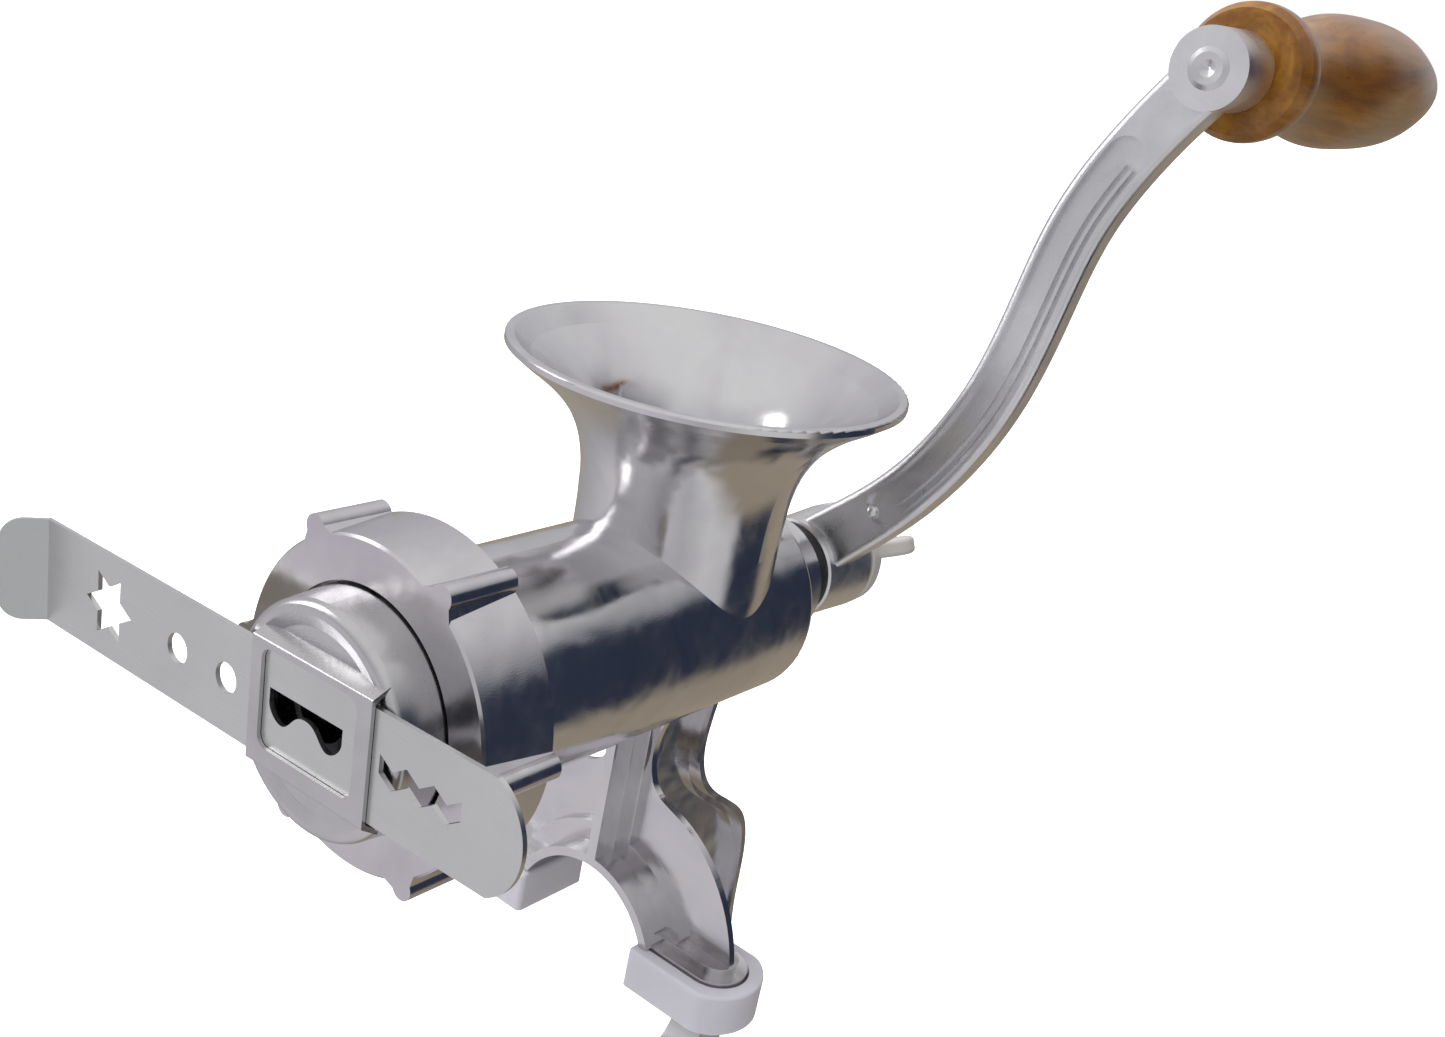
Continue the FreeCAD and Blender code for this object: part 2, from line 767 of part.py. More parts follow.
def glasses(centre, low, high):
    """A flat-topped opening with two round lobes and a saddle between them."""
    half = 10.1
    top = 3.5
    lobe = ((10.1, 1.2), (8.9, -1.7), (6.1, -2.8), (3.9, -1.2), (2.3, 0.3))
    right = [(centre + x, z) for x, z in lobe]
    left = [(centre - x, z) for x, z in reversed(lobe)]
    lower = spline([Vector(x, low, z) for x, z in right + [(centre, 0.95)] + left])
    upper = polyline([Vector(centre - half, low, 1.2), Vector(centre - half, low, top),
                      Vector(centre + half, low, top), Vector(centre + half, low, 1.2)])
    return face_of([lower] + upper).extrude(Y * (high - low))


def cookie_slide():
    """The slide: four dough shapes, a round right end and a tab bent forward at the left."""
    front = size("Dim.slide_front")
    thick = size("Dim.slide_thick")
    half = size("Dim.slide_half_width")
    left = size("Dim.slide_left")
    right = size("Dim.slide_right")
    pitch = size("Dim.shape_pitch")
    low = front - 1.0
    high = front + thick + 1.0
    corners = [Vector(right, front, half), Vector(left, front, half), Vector(left, front, -half),
               Vector(right, front, -half)]
    end = Part.Arc(corners[3], Vector(size("Dim.slide_tip"), front, 0), corners[0]).toShape()
    plate = face_of(polyline(corners) + [end]).extrude(Y * thick)
    length = size("Dim.tab_length")
    tab = Part.makeBox(length, thick, 2 * half, Vector(-length, 0, -half))
    tab = tab.makeFillet(size("Dim.tab_corner"), [
        edge for edge in tab.Edges
        if abs(edge.tangentAt(edge.FirstParameter).y) > 0.99 and edge.CenterOfMass.x < -length + 0.1])
    tab.Placement = Placement(Vector(left, front, 0), Rotation(Z, size("Dim.tab_angle")))
    knuckle = cylinder(thick, -half, half, Z, left, front + thick)
    knuckle = knuckle.common(Part.makeBox(4 * thick, 2 * thick, 2 * half,
                                          Vector(left - 2 * thick, front - thick, -half)))
    plate = plate.multiFuse([tab, knuckle])
    dot = size("Dim.dot_radius")
    spread = size("Dim.dot_spread")
    teeth = zigzag(pitch - 0.5, size("Dim.tooth_pitch"), size("Dim.tooth_rise"), size("Dim.tooth_band"),
                   teeth=6, level=0.4)
    holes = [
        cut_prism(star(-2 * pitch, size("Dim.star_outer"), size("Dim.star_inner"), tips=6), low, high),
        cylinder(dot, low, high, Y, -pitch - spread),
        cylinder(dot, low, high, Y, -pitch + spread),
        glasses(0.0, low, high),
        cut_prism(teeth, low, high),
    ]
    plate = plate.cut(holes[0].multiFuse(holes[1:])).removeSplitter()
    return shaped("cookie_slide", plate, Placement(Vector(0, 0, AXIS), TILT))


def centring_plate():
    """The plate with six holes that carries the feed screw's front stud."""
    body = new_body("centring_plate")
    seat = "Dim.plate_seat"
    front = "Dim.plate_seat - Dim.centring_thick"
    revolve(body, "YZ_Plane", [
        (front, "Dim.stud_radius + Dim.running_gap"),
        (front, "Dim.centring_radius"),
        (seat, "Dim.centring_radius"),
        (seat, "Dim.stud_radius + Dim.running_gap"),
    ], "H_Axis")
    sketch = new_sketch(body, "XZ_Plane", "-Dim.plate_seat + Dim.centring_thick + 1")
    add_circle(sketch, ("0", "Dim.plate_hole_circle"), "Dim.plate_hole_radius")
    gap = pocket(body, sketch, "Dim.centring_thick + 2")
    axis_line = [item for item in body.Origin.OriginFeatures if item.Role == "Y_Axis"][0]
    pattern = body.newObject("PartDesign::PolarPattern", "GapPattern")
    pattern.Originals = [gap]
    pattern.Axis = (axis_line, [""])
    pattern.Angle = 360
    pattern.Occurrences = 6
    body.Tip = pattern
    doc.recompute()
    notch = new_sketch(body, "XZ_Plane", "-Dim.plate_seat + Dim.centring_thick + 1")
    add_circle(notch, ("0", "Dim.locating_circle"), "Dim.notch_radius")
    pocket(body, notch, "Dim.centring_thick + 2")
    body.Placement = TO_AXIS
    return body


def locating_pin():
    pin = doc.addObject("Part::Cylinder", "locating_pin")
    pin.setExpression("Radius", "Dim.locating_radius")
    pin.setExpression("Height", "Dim.centring_thick + 3.5")
    pin.setExpression("Placement.Base.y", "Dim.plate_seat + 4")
    pin.setExpression("Placement.Base.z", "Dim.axis_height + Dim.locating_circle")
    pin.Placement = Placement(pin.Placement.Base, Rotation(X, 90))
    return keep(pin, "locating_pin")


# ---------------------------------------------------------------- drive
def feed_screw():
    """The auger: a tapering core with a helical flight, its collar, shaft and square."""
    front = size("Dim.flight_front")
    rear = size("Dim.flight_rear")
    core = size("Dim.core_radius")
    flight = size("Dim.flight_radius")
    shaft = size("Dim.shaft_radius")
    collar_end = rear + size("Dim.collar_length")
    shaft_end = size("Dim.square_start")
    outline = [(front, 0), (front, core - 0.5), (rear, core + size("Dim.core_taper")), (rear, flight),
               (collar_end, flight), (collar_end, shaft), (shaft_end, shaft), (shaft_end, 0)]
    places = [Vector(0, y, radius) for y, radius in outline]
    solid = turned_solid(polyline(places + places[:1]), Vector(0, 0, 0), Y)
    run_out = 4.0
    helix = Part.makeHelix(size("Dim.flight_pitch"), rear - front - run_out, core)
    root = size("Dim.flight_root")
    tip = size("Dim.flight_tip")
    inside = core - 3.0
    section = polyline([Vector(inside, 0, -root / 2), Vector(flight, 0, -tip / 2), Vector(flight, 0, tip / 2),
                        Vector(inside, 0, root / 2), Vector(inside, 0, -root / 2)])
    pipe = Part.Wire(helix).makePipeShell([Part.Wire(section)], True, True)
    pipe.Placement = Placement(Vector(0, rear - 1.0, 0), Rotation(X, 90))
    square = size("Dim.square_side")
    square_low = shaft_end - 0.2
    square_high = size("Dim.hub_rear") - 0.4
    drive = Part.makeBox(square, square_high - square_low, square,
                         Vector(-square / 2, square_low, -square / 2))
    trim = cylinder(flight, front, collar_end, Y)
    solid = solid.fuse(pipe.common(trim)).fuse(drive)
    solid = solid.cut(cylinder(size("Dim.wing_bore_radius"), shaft_end + 3.0, size("Dim.hub_rear") + 2, Y))
    stem = size("Dim.stem_length")
    solid = solid.cut(cylinder(size("Dim.stem_radius"), front - 1, front + stem + 2.0, Y))
    return shaped("feed_screw", solid, TO_AXIS)


def feed_stud():
    """The steel stud pressed into the screw's front end."""
    body = new_body("feed_stud")
    front = "Dim.plate_seat - Dim.centring_thick - 0.4"
    revolve(body, "YZ_Plane", [
        (front, "0"),
        (front, "Dim.stud_radius - 0.8"),
        (f"{front} + 0.8", "Dim.stud_radius"),
        ("Dim.flight_front", "Dim.stud_radius"),
        ("Dim.flight_front", "Dim.stem_radius"),
        ("Dim.flight_front + Dim.stem_length", "Dim.stem_radius"),
        ("Dim.flight_front + Dim.stem_length", "0"),
    ], "H_Axis")
    body.Placement = TO_AXIS
    return body


def rear_bush():
    """The steel bush in the rear boss, with a stepped flange outside."""
    body = new_body("rear_bush")
    revolve(body, "YZ_Plane", [
        ("Dim.bore_rear", "Dim.shaft_radius + Dim.running_gap"),
        ("Dim.bore_rear", "Dim.bush_radius"),
        ("Dim.boss_rear", "Dim.bush_radius"),
        ("Dim.boss_rear", "Dim.boss_radius - 0.4"),
        ("Dim.boss_rear + Dim.bush_step", "Dim.boss_radius - 0.9"),
        ("Dim.boss_rear + Dim.bush_step", "Dim.boss_radius - 1.8"),
        ("Dim.boss_rear + 2 * Dim.bush_step", "Dim.boss_radius - 2.2"),
        ("Dim.boss_rear + 2 * Dim.bush_step", "Dim.shaft_radius + Dim.running_gap"),
    ], "H_Axis")
    body.Placement = TO_AXIS
    return body


def thrust_washer():
    """The dark washer that turns with the crank against the bush."""
    body = new_body("thrust_washer")
    front = "Dim.boss_rear + 2 * Dim.bush_step + Dim.washer_gap"
    revolve(body, "YZ_Plane", [
        (front, "Dim.shaft_radius"),
        (front, "Dim.hub_radius - 0.9"),
        ("Dim.hub_front", "Dim.hub_radius - 0.9"),
        ("Dim.hub_front", "Dim.shaft_radius"),
    ], "H_Axis")
    body.Placement = TO_AXIS
    return body


# ---------------------------------------------------------------- crank
ARM_LINE = ((0.0, 0.0), (8.8, 11.0), (17.9, 21.0), (28.8, 36.4), (37.4, 56.1), (41.8, 77.9), (45.7, 99.2),
            (52.6, 116.0), (64.0, 134.5))
FLARE_END = 0.34


def arm_strip(left, right, start, stop, flare=0.0, steps=16):
    """A strip of the arm between two offsets from its centre line, with rounded ends.

    start and stop are fractions of the centre line's length. The left side widens by the
    flare towards the hub."""
    curve = Part.BSplineCurve()
    curve.interpolate([Vector(x, 0, z) for x, z in ARM_LINE])
    first = curve.FirstParameter
    span = curve.LastParameter - first

    def station(part):
        """The point, the direction along and the direction across at a fraction."""
        place = first + span * part
        along = Vector(*curve.tangent(place)[0])
        return curve.value(place), along, Vector(along.z, 0, -along.x)

    def extra(part):
        return flare * max(0.0, 1.0 - part / FLARE_END) ** 2

    sides = ([], [])
    for k in range(steps + 1):
        part = start + (stop - start) * k / steps
        point, along, across = station(part)
        sides[0].append(point + across * (left - extra(part)))
        sides[1].append(point + across * right)
    edges = [spline(side) for side in sides]
    for end, part, sign in ((0, start, -1), (-1, stop, 1)):
        point, along, across = station(part)
        half = (right - left + extra(part)) / 2
        middle = point + across * ((left + right - extra(part)) / 2) + along * (sign * half)
        edges.append(Part.Arc(sides[0][end], middle, sides[1][end]).toShape())
    return face_of(edges)


def crank_arm():
    """The S-shaped cast arm, with its hub, its end boss and the channel in its front face."""
    half = size("Dim.arm_half_width")
    thick = size("Dim.arm_thick")
    depth = size("Dim.channel_depth")
    channel = size("Dim.channel_half")
    reach = math.hypot(size("Dim.crank_x"), size("Dim.crank_z"))
    lean = math.degrees(math.atan2(size("Dim.arm_lean"), reach))
    bar_start = 0.03
    bar_stop = 0.99
    bar = arm_strip(-half, half, bar_start, bar_stop, size("Dim.arm_flare")).extrude(Y * thick)
    rims = [edge for edge in bar.Edges if abs(edge.BoundBox.YLength) < 0.01]
    bar = bar.makeFillet(size("Dim.arm_round"), rims)
    groove_start = 0.2
    groove_stop = 0.845
    groove = arm_strip(-channel, channel, groove_start, groove_stop).extrude(Y * depth)
    rib_half = 0.4
    for offset in (1.0, 3.0):
        rib = arm_strip(offset - rib_half, offset + rib_half, groove_start + 0.02, groove_stop - 0.01)
        groove = groove.cut(rib.extrude(Y * depth))
    button_radius = 1.9
    button = Part.makeSphere(button_radius, Vector(16.4, depth + 0.3, 20.6))
    bar = bar.cut(groove.cut(button))
    across = Vector(size("Dim.crank_z"), 0, -size("Dim.crank_x")).normalize()
    bar.Placement = Placement(Vector(0, size("Dim.hub_front") + 1.2, 0), Rotation(across, -lean))
    hub_front = size("Dim.hub_front")
    hub_rear = size("Dim.hub_rear")
    hub = Part.makeCone(size("Dim.hub_radius"), size("Dim.hub_rear_radius"), hub_rear - hub_front,
                        Vector(0, hub_front, 0), Y)
    hub = hub.makeChamfer(0.5, [edge for edge in hub.Edges if isinstance(edge.Curve, Part.Circle)])
    crank_x = size("Dim.crank_x")
    crank_z = size("Dim.crank_z")
    end = cylinder(size("Dim.end_radius"), size("Dim.end_front"), size("Dim.end_rear"), Y, crank_x, crank_z)
    end = end.makeFillet(1.0, [end.Edges[0]])
    solid = fuse([bar, hub, end])
    square_fit = 0.04
    side = size("Dim.square_side") + square_fit
    square = Part.makeBox(side, 40, side, Vector(-side / 2, size("Dim.hub_front") - 10, -side / 2))
    solid = solid.cut(square)
    solid = solid.cut(cylinder(size("Dim.pin_radius") + 0.02, 40, 90, Y, crank_x, crank_z))
    front = size("Dim.end_front")
    sink = cylinder(size("Dim.peen_radius"), front - 4, front + size("Dim.peen_depth"), Y, crank_x, crank_z)
    return shaped("crank_arm", solid.cut(sink), TO_AXIS)


def crank_place():
    return Placement(Vector(size("Dim.crank_x"), 0, AXIS + size("Dim.crank_z")), Rotation())


def handle_pin():
    """The rivet: peened over in the arm's end boss, with its head sunk in the grip's end."""
    body = new_body("handle_pin")
    peen = "Dim.end_front"
    sink = "Dim.grip_front + Dim.grip_length - Dim.pin_sink"
    revolve(body, "YZ_Plane", [
        (f"{peen} + 0.3", "0"),
        (f"{peen} - 0.5", "Dim.peen_radius * 0.4"),
        (f"{peen} - 0.7", "Dim.peen_radius * 0.75"),
        (f"{peen} - 0.1", "Dim.peen_radius"),
        (f"{peen} + Dim.peen_depth", "Dim.peen_radius"),
        (f"{peen} + Dim.peen_depth", "Dim.pin_radius"),
        (f"{sink} + 0.3", "Dim.pin_radius"),
        (f"{sink} + 0.3", "Dim.pin_head_radius"),
        (f"{sink} + 2.1", "Dim.pin_head_radius"),
        (f"{sink} + 2.6", "Dim.pin_head_radius - 1"),
        (f"{sink} + 2.6", "0"),
    ], "H_Axis")
    body.Placement = crank_place()
    return body


def grip_washer():
    body = new_body("grip_washer")
    revolve(body, "YZ_Plane", [
        ("Dim.end_rear", "Dim.pin_radius"),
        ("Dim.end_rear", "Dim.grip_washer_radius"),
        ("Dim.grip_front - 0.3", "Dim.grip_washer_radius"),
        ("Dim.grip_front - 0.3", "Dim.pin_radius"),
    ], "H_Axis")
    body.Placement = crank_place()
    return body


def wooden_grip():
    """The turned grip: a collar, a waist and an egg-shaped end, bored through for the pin."""
    front = size("Dim.grip_front")
    length = size("Dim.grip_length")
    collar = size("Dim.collar_radius")
    waist = size("Dim.waist_radius")
    largest = size("Dim.grip_radius")
    bore = size("Dim.pin_radius") + size("Dim.running_gap")
    sink = size("Dim.pin_sink")
    mouth = size("Dim.pin_head_radius") + 0.4
    rear = front + length
    side = [(0.02, collar), (0.055, collar), (0.085, collar - 0.9), (0.115, waist + 0.7), (0.165, waist),
            (0.25, waist + 0.9), (0.38, largest - 0.8), (0.54, largest), (0.7, largest - 0.9),
            (0.84, largest - 3.8), (0.94, largest - 6.6), (1.0, mouth + 0.8)]
    places = [Vector(0, front + length * part, radius) for part, radius in side]
    ends = [places[-1], Vector(0, rear, mouth), Vector(0, rear - sink, mouth), Vector(0, rear - sink, bore),
            Vector(0, front, bore), Vector(0, front, collar - 1.4), places[0]]
    solid = turned_solid([spline(places)] + polyline(ends), Vector(0, 0, 0), Y)
    return shaped("wooden_grip", solid, crank_place())


def wing_washer():
    body = new_body("wing_washer")
    revolve(body, "YZ_Plane", [
        ("Dim.hub_rear", "Dim.wing_washer_bore"),
        ("Dim.hub_rear", "Dim.wing_washer_radius"),
        ("Dim.hub_rear + Dim.wing_washer_thick", "Dim.wing_washer_radius"),
        ("Dim.hub_rear + Dim.wing_washer_thick", "Dim.wing_washer_bore"),
    ], "H_Axis")
    body.Placement = TO_AXIS
    return body


def wing_screw():
    """The thumb screw: threaded stem, broad round head and two swept-back wings."""
    start = size("Dim.hub_rear + Dim.wing_washer_thick")
    stem = size("Dim.wing_stem_radius")
    tip = start - size("Dim.wing_stem_length")
    outline = [(tip, 0), (tip, stem - 0.6), (tip + 0.6, stem), (start, stem), (start, 12.6),
               (start + 0.5, 13.0), (start + 3.4, 12.9), (start + 5.8, 11.6), (start + 7.2, 8.6),
               (start + 7.8, 4.6), (start + 7.8, 0)]
    places = [Vector(0, y, radius) for y, radius in outline]
    solid = turned_solid(polyline(places + places[:1]), Vector(0, 0, 0), Y)
    edge_points = [(6.0, 1.6), (13.0, 2.6), (17.2, 5.4), (18.8, 9.2), (17.4, 11.9), (13.6, 11.2),
                   (9.6, 9.4), (6.0, 8.8)]
    places = [Vector(x, start + y, 0) for x, y in edge_points]
    wing = slab(face_of([spline(places)] + polyline([places[-1], places[0]])), Z,
                size("Dim.wing_half"))
    wing = wing.makeFillet(1.2, [edge for edge in wing.Edges if edge.Length > 20])
    other = wing.copy()
    other.rotate(Vector(0, 0, 0), Y, 180)
    solid = fuse([solid, wing, other])
    return shaped("wing_screw", solid, Placement(Vector(0, 0, AXIS), Rotation(Y, -size("Dim.wing_turn"))))


# ---------------------------------------------------------------- table clamp
def clamp_disc():
    """The pressure disc: a dished plate with a blind socket for the screw's tip."""
    body = new_body("clamp_disc")
    top = "Dim.disc_top"
    low = "Dim.disc_top - Dim.disc_thick"
    socket = "Dim.tip_radius + Dim.running_gap"
    collar = f"{socket} + 2.94"
    revolve(body, "XZ_Plane", [
        ("0", top),
        ("Dim.disc_radius - 1", top),
        ("Dim.disc_radius", f"{top} - 1"),
        ("Dim.disc_radius", f"{low} + 1.4"),
        (collar, low),
        (collar, f"{low} - 2.2"),
        (socket, f"{low} - 2.2"),
        (socket, f"{top} - 1.8"),
        ("0", f"{top} - 1.8"),
    ], "V_Axis")
    return body


def clamp_screw():
    """The clamp's screw, with a reduced tip and a drilled head."""
    radius = size("Dim.screw_radius")
    top = size("Dim.disc_top")
    neck = top - size("Dim.disc_thick") - 2.6
    bar = size("Dim.tommy_height")
    head = size("Dim.clamp_head_radius")
    tip = size("Dim.tip_radius")
    outline = [(0, top - 2.0), (tip, top - 2.0), (tip, neck), (radius - 0.9, neck), (radius, neck - 0.9),
               (radius, bar + 9.5), (head - 1, bar + 8.5), (head, bar + 7.5), (head, bar - 6.0),
               (head - 1.2, bar - 7.2), (0, bar - 7.2)]
    places = [Vector(x, 0, z) for x, z in outline]
    solid = turned_solid(polyline(places + places[:1]), Vector(0, 0, 0), Z)
    rest = neck - 2.0
    pitch = size("Dim.thread_pitch")
    depth = size("Dim.thread_depth")
    plain_length = 11.0
    turns = int((rest - bar - plain_length) / pitch)
    for k in range(turns):
        height = rest - pitch * k
        groove = [(radius + 1, height), (radius + 1, height - pitch * 0.8),
                  (radius - depth, height - pitch * 0.4)]
        corners = [Vector(x, 0, z) for x, z in groove]
        solid = solid.cut(turned_solid(polyline(corners + corners[:1]), Vector(0, 0, 0), Z))
    hole = cylinder(size("Dim.tommy_radius") + size("Dim.running_gap"), -20, 20, X, 0, bar)
    return shaped("clamp_screw", solid.cut(hole))


def clamp_bar():
    bar = doc.addObject("Part::Cylinder", "clamp_bar")
    bar.setExpression("Radius", "Dim.tommy_radius")
    bar.setExpression("Height", "Dim.tommy_length")
    bar.Placement = Placement(Vector(0, 0, 0), Rotation(Y, 90))
    bar.setExpression("Placement.Base.x", "-Dim.tommy_length / 2")
    bar.setExpression("Placement.Base.z", "Dim.tommy_height")
    return keep(bar, "clamp_bar")


def clamp_bar_knobs():
    """The two end knobs pressed onto the bar, one node of two solids."""
    half = size("Dim.tommy_length") / 2
    height = size("Dim.tommy_height")
    bore = size("Dim.tommy_radius")
    knobs = []
    for side in (-1, 1):
        outer = side * (half + 1.0)
        inner = outer - side * size("Dim.knob_length")
        knob = cylinder(size("Dim.knob_radius"), min(outer, inner), max(outer, inner), X, 0, height)
        knob = knob.makeFillet(1.4, [knob.Edges[0], knob.Edges[2]])
        knobs.append(knob.cut(cylinder(bore, -half, half, X, 0, height)))
    return shaped("clamp_bar_knobs", Part.makeCompound(knobs))


# ---------------------------------------------------------------- build and write
def build():
    grinder_body()
    foot_pad(1, "foot_pad_right")
    foot_pad(-1, "foot_pad_left")
    ring_nut()
    cookie_cup()
    cookie_slide()
    centring_plate()
    locating_pin()
    feed_screw()
    feed_stud()
    rear_bush()
    thrust_washer()
    crank_arm()
    handle_pin()
    grip_washer()
    wooden_grip()
    wing_washer()
    wing_screw()
    clamp_disc()
    clamp_screw()
    clamp_bar()
    clamp_bar_knobs()


def check():
    """Stop if an object failed or a sub-part has no good shape."""
    doc.recompute()
    for obj in doc.Objects:
        if "Invalid" in obj.State or "Error" in obj.State:
            raise RuntimeError(f"{obj.Label}: {obj.State}")
    for obj in SUBPARTS:
        if obj.Shape.isNull() or not obj.Shape.isValid() or obj.Shape.Volume <= 0:
            raise RuntimeError(f"{obj.Label}: bad shape")


build()
check()
os.makedirs("parts", exist_ok=True)
for obj in SUBPARTS:
    obj.Shape.exportStep(f"parts/{obj.Label}.step")
    print(f"{obj.Label}: {len(obj.Shape.Solids)} solid, {obj.Shape.Volume / 1000:.2f} cm3")
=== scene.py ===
import math

import bpy
from mathutils import Matrix, Vector


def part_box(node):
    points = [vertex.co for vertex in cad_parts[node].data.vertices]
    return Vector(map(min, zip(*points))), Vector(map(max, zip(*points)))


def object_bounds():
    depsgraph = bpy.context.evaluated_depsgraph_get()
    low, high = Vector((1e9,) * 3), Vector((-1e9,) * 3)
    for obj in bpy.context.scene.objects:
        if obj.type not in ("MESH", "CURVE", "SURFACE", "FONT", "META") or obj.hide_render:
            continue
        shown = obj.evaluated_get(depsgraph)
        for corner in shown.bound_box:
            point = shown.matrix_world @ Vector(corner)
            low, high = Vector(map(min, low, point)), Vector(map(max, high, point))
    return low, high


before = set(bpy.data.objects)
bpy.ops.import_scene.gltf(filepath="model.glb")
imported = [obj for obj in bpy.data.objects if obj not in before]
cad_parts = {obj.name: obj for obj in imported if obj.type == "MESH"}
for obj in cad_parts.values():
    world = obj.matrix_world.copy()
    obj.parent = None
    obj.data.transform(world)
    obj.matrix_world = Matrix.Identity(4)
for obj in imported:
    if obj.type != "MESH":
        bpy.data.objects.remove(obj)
CAD_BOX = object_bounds()
scene = bpy.context.scene


# ---------------------------------------------------------------- camera
def add_camera(place, azimuth, elevation, roll, lens):
    """A camera that looks along an azimuth and elevation, in degrees, then rolls."""
    a, e, r = (math.radians(angle) for angle in (azimuth, elevation, roll))
    back = Vector((math.sin(a) * math.cos(e), -math.cos(a) * math.cos(e), math.sin(e)))
    level = Vector((math.cos(a), math.sin(a), 0.0))
    up = back.cross(level)
    right = level * math.cos(r) + up * math.sin(r)
    up = back.cross(right)
    data = bpy.data.cameras.new("camera")
    data.lens = lens
    data.sensor_width = 36.0
    data.clip_start = 0.01
    data.clip_end = 50.0
    camera = bpy.data.objects.new("camera", data)
    turn = Matrix((right, up, back)).transposed().to_4x4()
    camera.matrix_world = Matrix.Translation(Vector(place)) @ turn
    scene.collection.objects.link(camera)
    scene.camera = camera


add_camera((0.19886, -0.26980, 0.23451), 34.791, 20.373, 11.385, 40.82)
scene.view_settings.view_transform = "Standard"


# ---------------------------------------------------------------- node helpers
class Tree:
    """A short way to add nodes to one material or world."""

    def __init__(self, owner):
        """Start an empty node tree on a material or world."""
        owner.use_nodes = True
        self.nodes = owner.node_tree.nodes
        self.links = owner.node_tree.links
        self.nodes.clear()

    def add(self, kind, inputs=None, **settings):
        node = self.nodes.new(kind)
        for key, value in settings.items():
            setattr(node, key, value)
        for key, value in (inputs or {}).items():
            self.feed(node, key, value)
        return node

    def feed(self, node, key, value):
        socket = node.inputs[key]
        if isinstance(value, bpy.types.NodeSocket):
            self.links.new(value, socket)
        else:
            socket.default_value = value

    def math(self, operation, *values, clamp=False):
        node = self.add("ShaderNodeMath", operation=operation, use_clamp=clamp)
        for index, value in enumerate(values):
            self.feed(node, index, value)
        return node.outputs[0]

    def ramp(self, factor, stops, interpolation="LINEAR"):
        """A colour ramp from (position, colour) pairs; a number stands for a grey."""
        node = self.add("ShaderNodeValToRGB", {0: factor})
        node.color_ramp.interpolation = interpolation
        elements = node.color_ramp.elements
        while len(elements) < len(stops):
            elements.new(0.5)
        for element, (position, colour) in zip(elements, stops):
            element.position = position
            element.color = rgba(colour)
        return node.outputs[0]

    def mix(self, factor, first, second, blend="MIX"):
        node = self.add("ShaderNodeMix", data_type="RGBA", blend_type=blend)
        self.feed(node, 0, factor)
        for key, value in ((6, first), (7, second)):
            is_socket = isinstance(value, bpy.types.NodeSocket)
            self.feed(node, key, value if is_socket else rgba(value))
        return node.outputs[2]

    def place(self, stretch=(1.0, 1.0, 1.0), turn=(0.0, 0.0, 0.0)):
        """Object coordinates, scaled and turned."""
        coordinates = self.add("ShaderNodeTexCoord").outputs["Object"]
        mapping = self.add("ShaderNodeMapping", {"Vector": coordinates})
        mapping.inputs["Scale"].default_value = stretch
        mapping.inputs["Rotation"].default_value = turn
        return mapping.outputs[0]

    def noise(self, vector, scale, detail=3.0, rough=0.5, distortion=0.0):
        node = self.add("ShaderNodeTexNoise", {
            "Vector": vector, "Scale": scale, "Detail": detail, "Roughness": rough, "Distortion": distortion})
        return node.outputs["Fac"]

    def gloss(self, pattern, low, high, smooth, rough):
        """A roughness that follows a noise pattern between its values low and high."""
        node = self.add("ShaderNodeMapRange", {"Value": pattern, "From Min": low, "From Max": high,
                                               "To Min": smooth, "To Max": rough})
        return node.outputs[0]

    def tint(self, pattern, low, high, light, dark):
        """A colour that goes from light to dark where a noise pattern rises from low to high."""
        return self.mix(self.ramp(pattern, ((low, 0.0), (high, 1.0))), light, dark)

    def bump(self, height, distance, strength=1.0, normal=None):
        node = self.add("ShaderNodeBump", {"Height": height, "Distance": distance, "Strength": strength})
        if normal is not None:
            self.feed(node, "Normal", normal)
        return node.outputs[0]


def rgba(colour):
    """A grey number or an RGB triple as an opaque colour."""
    if isinstance(colour, (int, float)):
        return (colour, colour, colour, 1.0)
    return tuple(colour) + ((1.0,) if len(colour) == 3 else ())


def finish_material(tree, **sockets):
    """The Principled shader and the output. A keyword is a socket's name with _ for its spaces."""
    shader = tree.add("ShaderNodeBsdfPrincipled")
    for key, value in sockets.items():
        name = key.replace("_", " ")
        if isinstance(value, tuple) and name.endswith("Color"):
            value = rgba(value)
        tree.feed(shader, name, value)
    out = tree.add("ShaderNodeOutputMaterial")
    tree.links.new(shader.outputs[0], out.inputs[0])


# ---------------------------------------------------------------- metals
def cast_metal(name, light, dark, smooth, rough, wobble, grain, stretch=(1, 1, 1), pits=0.0):
    """Polished or tumbled die casting: cloudy tint, uneven gloss, wavy surface and fine scratches."""
    material = bpy.data.materials.new(name)
    tree = Tree(material)
    place = tree.place(stretch)
    cloud = tree.noise(place, 34.0, 4.0, 0.55, 0.6)
    smear = tree.noise(place, 120.0, 5.0, 0.6, 1.2)
    colour = tree.tint(cloud, 0.35, 0.68, light, dark)
    gloss = tree.gloss(smear, 0.3, 0.72, smooth, rough)
    wave = tree.noise(place, 55.0, 2.0, 0.4, 0.3)
    normal = tree.bump(wave, wobble)
    scratch_place = tree.place((6.0, 1.0, 6.0), (0.35, 0.2, 0.5))
    scratch = tree.noise(scratch_place, 900.0, 2.0, 0.5)
    normal = tree.bump(scratch, grain, 1.0, normal)
    if pits:
        spots = tree.noise(place, 1500.0, 3.0, 0.65)
        normal = tree.bump(tree.ramp(spots, ((0.3, 0.0), (0.45, 1.0))), pits, 1.0, normal)
    finish_material(tree, Base_Color=colour, Metallic=1.0, Roughness=gloss, Normal=normal)
    return material


